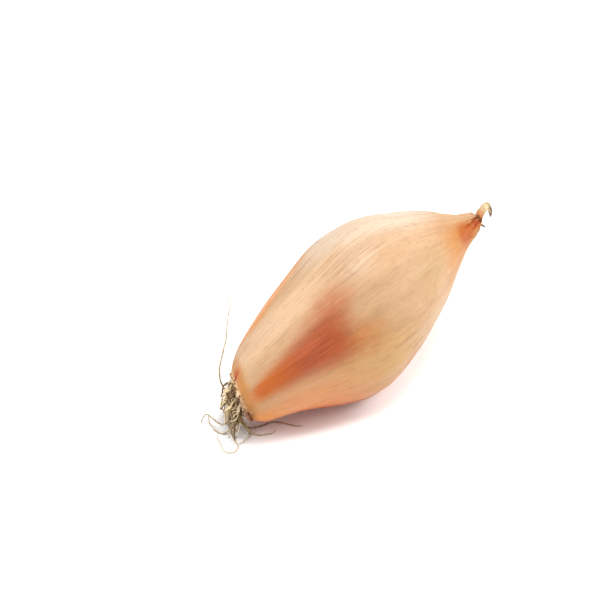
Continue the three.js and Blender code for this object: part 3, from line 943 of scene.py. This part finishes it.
# %% Routes of the long roots
LONG_ROOTS = (  # points along each: x from the root end, y, and height over the floor
    ((2.2, 3, 11), (-1.4, 3.8, 9.6), (-2.2, 4.8, 12.2), (-2.8, 5.6, 15.8), (-2.9, 5.8, 19.5),
     (-2.5, 5.6, 23), (-1.9, 5.1, 26.5), (-1, 4.7, 30.5), (-0.4, 4.7, 36.5), (0.2, 4.6, 41.5),
     (-0.2, 5.6, 44.2)),
    ((3.2, 3, 9), (-0.6, 2.4, 7.2), (-2.2, 1.8, 5), (-4.3, 1.3, 3.4), (-5.4, 2.4, 2.6), (-5.7, 4.4, 2.6),
     (-5.7, 6.6, 2.6), (-5.4, 8.5, 2.3), (-6.1, 9.5, 1.4), (-7.9, 8.9, 0.3)),
    ((3, 2, 8), (-0.6, 1.4, 6.4), (-1.8, 0.8, 4.2), (-2.9, 0.5, 2.2), (-4.6, 0.6, 0.8), (-5.8, 1.1, 0.3),
     (-6.8, 2.6, 0.3), (-6.7, 4.6, 0.7), (-6.3, 6.6, 1.2), (-5.4, 8.4, 2)),
    ((1.8, 0, 8.5), (-1.6, 0.9, 6), (-1.9, 1.3, 3.5), (-3.9, 0.7, 1), (-5.2, -2.9, 0.3), (-6.1, -5.5, 0.3),
     (-8.3, -6.6, 0.3), (-10.2, -5.8, 0.3), (-10.2, -4, 0.3), (-8.9, -1.2, 0.3), (-7.6, 1.8, 0.3)),
    ((3.3, 3, 8.3), (0.3, 4.6, 6.8), (0, 2.8, 5.2), (0, 0.9, 3.6), (0, -1.3, 2.2), (0, -3.3, 0.9),
     (0.5, -4.9, 0.3), (1.8, -6.4, 0.3), (3.9, -7.4, 0.3), (6.2, -7.3, 0.3)),
    ((1.8, -1, 7.8), (-0.9, -0.4, 5.2), (0, 0.2, 2.6), (0.9, -1.8, 0.9), (3.9, -3.1, 0.3), (6.9, -4, 0.3),
     (9.2, -5.6, 0.3), (11.1, -8.2, 0.3), (13.1, -10.6, 0.3)),
    ((2.6, 1, 8), (-0.5, 1, 5), (-0.7, 1, 3), (-0.1, -1.4, 1.2), (-0.2, -3.3, 0.3), (-1.6, -4.7, 0.3),
     (-3.7, -5.4, 0.3), (-5.3, -5.1, 0.3)),
)
LONG_RADII = (0.26, 0.25, 0.25, 0.2, 0.3, 0.24, 0.22)
LONG_CRINKLES = (0.14, 0.16, 0.16, 0.16, 0.16, 0.16, 0.16)
LONG_SHADES = (0.52, 0.5, 0.54, 0.62, 0.58, 0.44, 0.6)
print(len(LONG_ROOTS), "long roots, the first up to", LONG_ROOTS[0][-1][2], "mm over the floor")

# %% Build the roots
ROOT_RADIUS, ROOT_CRINKLE, ROOT_STEPS = 0.4, 0.3, 60
HAIR_COUNT, HAIR_CRINKLE, HAIR_STEPS = 66, 0.24, 44
HAIR_RANGES = (  # length, spread, droop, curl, turns, phase
    (3, 11), (0.0, 0.4), (0.5, 1.1), (0.8, 1.7), (1.0, 2.6), (0, TURN),
)


def build_roots():
    """The bunch and the long roots share one grid of steps, so that they are one array. Two slow waves along
    each make knots, and the radius shrinks by 0.55 of itself towards the tip."""
    steps = np.linspace(0, 1, ROOT_STEPS)
    long_routes = [np.array(route) - (REST_X, REST_Y, 0) for route in LONG_ROOTS]
    paths = np.stack([through(route, steps) for route in [*main_routes, *long_routes]])
    paths = crinkled(paths, 21, np.array([*[ROOT_CRINKLE] * ROOT_COUNT, *LONG_CRINKLES]))
    number = np.arange(ROOT_STEPS)
    knots = 1 + 0.12 * np.sin(number * 1.7) + 0.1 * np.sin(number * 0.63)
    thick = np.array([*[ROOT_RADIUS] * ROOT_COUNT, *LONG_RADII])
    radii = thick[:, None] * (1 - 0.55 * steps ** 1.5) * knots
    return strands("roots", paths, radii, shades=LONG_SHADES)


def build_hairs():
    """Finer roots from the same plate, shorter and more curled, that fill the bunch."""
    draw = np.random.default_rng(31)
    length, spread, droop, curl, turns, phase = (draw.uniform(a, b, HAIR_COUNT) for a, b in HAIR_RANGES)
    turns = turns * draw.choice([-1, 1], HAIR_COUNT)
    routes = tuft_routes(length, spread, droop, curl, turns, phase, first=0.9)
    steps = np.linspace(0, 1, HAIR_STEPS)
    paths = np.stack([through(route, steps) for route in routes])
    paths = crinkled(paths, 32, np.full(HAIR_COUNT, HAIR_CRINKLE))
    thick = draw.uniform(0.13, 0.25, HAIR_COUNT)
    radii = thick[:, None] * (1 - 0.6 * steps)
    return strands("root_hairs", paths, radii, sides=6)


roots = build_roots()
root_hairs = build_hairs()


# %% [markdown]
# ## Cork and straw
#
# The plate is dark cork, and the roots are straw that has gone grey. Each root gets a shade of its own from a
# number that all of its vertices share, it has specks of dirt, and painted shade darkens it near the plate.
# Nothing here shines.

# %% Finishes of the root end
def cork():
    """Brown lumps, dark grains between them, and a darker dent."""
    plate = Finish("root_cork")
    place = plate.object_place()
    _, v = plate.surface()
    coarse = plate.noise(place, 420, 4, 0.65)
    grain = plate.noise(place, 1600, 3, 0.7)
    base = plate.coats(
        plate.blend(plate.between(coarse, 0.35, 0.65), "4E3A24", "9A7A4E"),
        (plate.between(grain, 0.45, 0.7) * 0.5, "2E2216"),
        (plate.between(v, 0.62, 0.98) * 0.6, "2A1E14"),
    )
    return plate.finish(base, 0.9, coarse + grain * 0.5, 0.0005, Specular_IOR_Level=0.2)


def straw(name, light, dark):
    """Between light and dark by the root's own shade and by fine streaks, with specks of dirt and painted
    shade near the plate.
    """
    root = Finish(name)
    own, along = root.attribute("own_shade"), root.attribute("along")
    dirt = root.noise(root.object_place(), 700, 3, 0.6)
    u, v = root.surface()
    streak = root.noise(root.vector(u * 5, v * 26, own * 40), detail=2)
    base = root.coats(
        root.blend(root.between(own * 0.7 + streak * 0.3, 0.36, 0.74), dark, light),
        (root.between(dirt, 0.5, 0.75) * 0.4, "5E4228"),
        # Painted shade: darker towards the plate.
        (root.between(along, 0.4, 0.0) * 0.7, "4A3018"),
    )
    return root.finish(base, 0.75, streak + dirt * 0.4, 0.00012, Specular_IOR_Level=0.3)


dress(root_plate, "dry_root", cork(), "root_tuft")
dress(roots, "dry_root", straw("root_straw", "E4CEA2", "6C4E2C"), "root_tuft")
dress(root_hairs, "dry_root", straw("root_hair_straw", "E2D0AA", "705434"))


# %% [markdown]
# ## The dry leaf ends
#
# Where the green leaves were cut or withered, a few ends stay in the mouth of the neck. The largest rises,
# arches over and hangs. It is a strip of paper: a thin section carried along a route, cupped, with edges
# that curl in and a torn tip. The section is a flat closed ring, so the strip has two faces and a real
# thickness.

# %% Strips of paper
def paper_strip(middle, sideways, width, thick, cup, ragged, seed, sides=40):
    """Rings of a flat closed section along middle: across = half the width times the cosine, thickness times
    the sine, plus a cup that grows with the square of the cosine. Both edges are torn, and it ripples."""
    share = np.linspace(0, 1, len(middle))[:, None]
    start = np.random.default_rng(seed).uniform(0, TURN, 8)
    turned = np.arange(sides) / sides * TURN
    cosine, sine = np.cos(turned)[None], np.sin(turned)[None]
    side = 1.3 * np.sign(cosine)
    torn_edge = 1 + ragged * (
        0.5 * np.sin(19 * share + start[0] + side) + 0.35 * np.sin(43 * share + start[1] + 2 * side)
        + 0.25 * np.abs(np.sin(71 * share + start[2] + 3 * side)))
    half = 0.5 * width[:, None] * torn_edge
    ahead = unit(np.gradient(middle, axis=0))
    up = unit(np.cross(ahead, sideways))
    across = np.cross(up, ahead)
    ripple = (
        0.05 * np.sin(9 * cosine + 14 * share + start[3])
        + 0.04 * np.sin(31 * share + 5 * cosine + start[4])
    )
    lift = half * (cup * cosine ** 2 + 0.12 * np.sin(6 * share + start[5]) * cosine - 0.45 * cup) + ripple
    return (
        middle[:, None] + across[:, None] * (half * cosine)[..., None]
        + up[:, None] * (0.5 * thick * sine + lift)[..., None]
    )


def strips_mesh(name, strips, values):
    """Strips of one size as one mesh. The ends of each close in the middle of its first and last ring."""
    rings = np.stack(strips)
    starts, ends = rings[:, 0].mean(axis=1), rings[:, -1].mean(axis=1)
    return stack_mesh(name, starts, rings, ends, np.linspace(0, 1, rings.shape[1]), values)


# %% Build the leaf ends
LEAVES = (  # route from the mouth of the neck, the width at its points, which way it is wide at both ends
    (((-1.5, -0.5, 0), (1.3, -0.8, 0), (2.3, -1.1, 0.4), (2.4, -1.3, 1.9), (2.9, -1.5, 3.6),
      (3.9, -1.6, 4.6), (5, -1.7, 4.3), (5.9, -1.8, 2.7), (6.1, -1.9, 0.9)),
     (1.2, 1.5, 2.2, 3, 3.5, 3.6, 3.3, 2.6, 1.4), ((-0.19, 0.98, 0.11), (0.9, 0.42, 0))),
    (((-1.5, 0, 0), (1.7, -0.1, -0.2), (3, -1, -0.9), (3.6, -2.2, -1.7)),
     (1.2, 1.2, 1, 0.7), ((-0.19, 0.98, 0.11), (-0.19, 0.98, 0.11))),
    (((-1.5, 0, 0), (1.7, 0.2, 0), (3.2, 1.1, 0.3), (4.2, 2.4, 0.1)),
     (1.2, 1.3, 1.1, 0.7), ((-0.19, 0.98, 0.11), (-0.19, 0.98, 0.11))),
)
LEAF_THICKNESS, LEAF_CUP, LEAF_RAGGED, LEAF_STEPS = 0.3, 0.6, 0.14, 72


def leaf_strip(route, widths, across, seed):
    """The strip twists evenly from its way of being wide at the start to the one at the end."""
    share = np.linspace(0, 1, LEAF_STEPS)
    middle = through(np.array(route), share) + neck_tip
    width = through(np.array(widths)[:, None], share)[:, 0]
    first, last = np.array(across)
    sideways = first + (last - first) * share[:, None]
    return paper_strip(middle, sideways, width, LEAF_THICKNESS, LEAF_CUP, LEAF_RAGGED, seed)


def build_leaves():
    """The leaves' own shades are spaced evenly from 0 to 1."""
    strips = [leaf_strip(*leaf, 40 + i) for i, leaf in enumerate(LEAVES)]
    own = np.linspace(0, 1, len(LEAVES))[:, None, None]
    along = np.linspace(0, 1, LEAF_STEPS)[None, :, None]
    return strips_mesh("neck_leaves", strips, {"own_shade": own, "along": along})


neck_leaves = build_leaves()


# %% The leaf ends' finish
def dry_leaf():
    """Cream and grey fibres, tan where it leaves the neck, brown along one edge, and a burnt tip."""
    leaf = Finish("dry_leaf")
    own, along = leaf.attribute("own_shade"), leaf.attribute("along")
    u, _ = leaf.surface()
    one_edge = leaf.math("COSINE", u * TURN)
    fibre = leaf.noise(round_and_along(leaf, 6, 4), detail=3, roughness=0.65)
    mottle = leaf.noise(leaf.object_place(), 500, 3, 0.6)
    base = leaf.coats(
        leaf.blend(leaf.between(fibre, 0.3, 0.7), "AE9468", "CDB996"),
        (leaf.between(mottle, 0.5, 0.75) * 0.5, "956E42"),
        (leaf.between(along, 0.62, 0.4) * 0.9, "CC8A56"),
        (leaf.between(along, 0.5, 0.3) * leaf.between(one_edge, 0.2, 0.8) * 0.7, "8E4A26"),
        (leaf.between(own, 0.2, 0.4) * 0.75, "96522C"),
        (leaf.between(along, 0.76, 0.88) * 0.9, "402614"),
    )
    return leaf.finish(base, 0.6, fibre + mottle * 0.5, 0.00018, Specular_IOR_Level=0.35)


dress(neck_leaves, "dry_leaf", dry_leaf(), "neck_tuft")


# %% [markdown]
# ## Scraps on the collar
#
# The collar is the torn end of several skins, so loose scraps stand along its rim, pale where the paper tore,
# and some almost black-red, most of them low on the near side. They could be cut out of the skin's own mesh,
# but a scrap curls and overlaps its neighbour. The strip that made the leaf ends makes them too, laid along
# the rim.

# %% Build the scraps
# The last number sets how much of a scrap goes almost black-red; the scraps low on the near side have the
# most.
FLAKES = (  # angles where each begins and ends, distance in from the rim, height out, width, how burnt
    (112, 150, 0.6, 0.5, 1.0, 0), (146, 176, 0.6, 0.55, 1.2, 0), (182, 220, 0.9, 0.5, 1.1, 0.6),
    (62, 100, 1.0, 0.45, 1.0, 0), (232, 282, 0.8, 0.5, 1.2, 0.2), (290, 338, 0.9, 0.5, 1.1, 0),
    (344, 390, 0.8, 0.5, 1.2, 0.1), (36, 58, 1.0, 0.4, 0.9, 0.3), (84, 112, 1.2, 0.4, 0.9, 0),
    (180, 202, -0.25, 0.3, 0.9, 0.8), (198, 218, -0.45, 0.2, 1.0, 1), (214, 238, -0.5, 0.15, 0.9, 0.9),
    (234, 258, -0.4, 0.1, 0.8, 1),
)
FLAKE_THICKNESS, FLAKE_CUP, FLAKE_RAGGED, FLAKE_STEPS, FLAKE_SIDES = 0.16, 0.3, 0.4, 56, 28


def flake_strip(begin, end, inward, height, width, seed):
    """A scrap that runs along the rim of the root end and stands up from it, half leaning in. Its width
    follows the root of 4s(1 - s), so both ends are round."""
    share = np.linspace(0, 1, FLAKE_STEPS)
    angle = np.radians(begin + (end - begin) * share)
    sway = 0.25 * np.sin(9 * share + seed)
    middle = root_end(rim_radius - inward + sway, angle, height + 0.2 * np.sin(13 * share + 2 * seed))
    lean = root_out - (0.5 + 0.3 * math.sin(seed)) * root_spoke(angle)
    full = width * np.sqrt(np.clip(4 * share * (1 - share), 0.02, 1))
    return paper_strip(middle, lean, full, FLAKE_THICKNESS, FLAKE_CUP, FLAKE_RAGGED, seed, FLAKE_SIDES)


def build_flakes():
    """Each scrap has a shade of its own and a number that says how dark it is."""
    strips = [flake_strip(*flake[:5], seed=60 + i) for i, flake in enumerate(FLAKES)]
    own = np.random.default_rng(61).uniform(size=(len(FLAKES), 1, 1))
    darkened = np.array([flake[5] for flake in FLAKES])[:, None, None]
    return strips_mesh("collar_flakes", strips, {"own_shade": own, "darkened": darkened})


collar_flakes = build_flakes()


# %% The scraps' finish
def torn_paper():
    """Pale where the paper tore, tan and brown in patches, and almost black-red in patches on the darkened
    scraps.
    """
    scrap = Finish("torn_paper")
    place = scrap.object_place()
    fibre = scrap.noise(place, 900, 3, 0.6)
    mottle = scrap.noise(place, 620, 2)
    base = scrap.coats(
        scrap.blend(scrap.between(fibre, 0.35, 0.65), "BE9B6F", "D6C2A0"),
        (scrap.between(mottle, 0.5, 0.6) * 0.85, "6E3A1C"),
        (scrap.between(scrap.attribute("own_shade"), 0.4, 0.9) * 0.6, "894F2B"),
        (scrap.attribute("darkened") * scrap.between(mottle, 0.64, 0.46) * 0.95, "6E2408"),
    )
    return scrap.finish(base, 0.6, fibre + mottle * 0.5, 0.0002, Specular_IOR_Level=0.25)


dress(collar_flakes, "dry_skin", torn_paper())


# %% [markdown]
# ## Floor, light and camera
#
# A plain white floor, a dim even sky and five soft lamps: one at each end, one above, and two low ones in
# front. Light from both ends leaves only a short shadow where the belly overhangs the floor, and what
# reaches that place has come off the copper skin, so the shadow is warm. The lens is long, as for a small
# thing.

# %% Floor and sky
FLOOR_HALF = 3.0
SKY = 0.17


def build_floor():
    """One square, FLOOR_HALF metres to each side of the origin, that is part of the stage."""
    half = FLOOR_HALF
    mesh = bpy.data.meshes.new("floor")
    corners = [(-half, -half, 0), (half, -half, 0), (half, half, 0), (-half, half, 0)]
    mesh.from_pydata(corners, [], [(0, 1, 2, 3)])
    floor = bpy.data.objects.new("floor", mesh)
    bpy.context.scene.collection.objects.link(floor)
    paper = Finish("floor_paper")
    tone = paper.blend(paper.noise(paper.object_place(), 9, 2), "F4F4F3", "F6F6F6")
    mesh.materials.append(paper.finish(tone, 0.85, Specular_IOR_Level=0.1))


build_floor()
world = bpy.data.worlds.new("sky")
world.use_nodes = True
world.node_tree.nodes["Background"].inputs["Color"].default_value = (1, 1, 1, 1)
world.node_tree.nodes["Background"].inputs["Strength"].default_value = SKY
bpy.context.scene.world = world
bpy.context.scene.view_settings.view_transform = "Standard"
print("sky strength", SKY)


# %% Soft lamps
def soft_lamp(name, place, target, size, power):
    """A square lamp that faces its target. Lengths are in metres and power is in watts."""
    lamp = bpy.data.lights.new(name, "AREA")
    lamp.size, lamp.energy = size, power
    holder = bpy.data.objects.new(name, lamp)
    holder.location = place
    holder.rotation_mode = "QUATERNION"
    holder.rotation_quaternion = (Vector(target) - Vector(place)).to_track_quat("-Z", "Y")
    bpy.context.scene.collection.objects.link(holder)
    print(f"{name}: {power} W over {size} m")


LAMPS_FACE = (0.0, 0.0, 0.02)
LAMPS = (  # name, place, size, power
    ("left_lamp", (-0.6, 0.35, 0.5), 0.6, 6.7), ("right_lamp", (0.6, -0.1, 0.5), 0.5, 4.8),
    ("front_lamp", (0.5, -0.4, 0.4), 0.4, 3.7), ("top_lamp", (0.0, -0.1, 0.85), 0.3, 4.4),
    ("low_lamp", (-0.6, -0.5, 0.25), 0.5, 1.6),
)
for lamp_name, place, size, power in LAMPS:
    soft_lamp(lamp_name, place, LAMPS_FACE, size, power)

# %% Camera
CAMERA_AZIMUTH = math.radians(42.51)
CAMERA_ELEVATION = math.radians(38.0)
CAMERA_DISTANCE = 0.7
PIXELS, SENSOR, LENS = 600, 36.0, 146.2
TARGET = Vector((0.00463, 0.0035, 0.018))
TARGET_PIXEL = (358.02, 314.34)

cosine = math.cos(CAMERA_ELEVATION)
forward = Vector((
    math.sin(CAMERA_AZIMUTH) * cosine, math.cos(CAMERA_AZIMUTH) * cosine, -math.sin(CAMERA_ELEVATION)))
right = Vector((math.cos(CAMERA_AZIMUTH), -math.sin(CAMERA_AZIMUTH), 0))
up = right.cross(forward)
focal = LENS / SENSOR * PIXELS
aim = forward + right * (PIXELS / 2 - TARGET_PIXEL[0]) / focal - up * (PIXELS / 2 - TARGET_PIXEL[1]) / focal

lens = bpy.data.cameras.new("camera")
lens.lens, lens.sensor_width = LENS, SENSOR
lens.clip_start, lens.clip_end = 0.01, 20
camera = bpy.data.objects.new("camera", lens)
camera.location = TARGET - forward * CAMERA_DISTANCE
camera.rotation_mode = "QUATERNION"
camera.rotation_quaternion = aim.to_track_quat("-Z", "Y")
bpy.context.scene.collection.objects.link(camera)
bpy.context.scene.camera = camera
print("camera at", [round(c, 3) for c in camera.location])
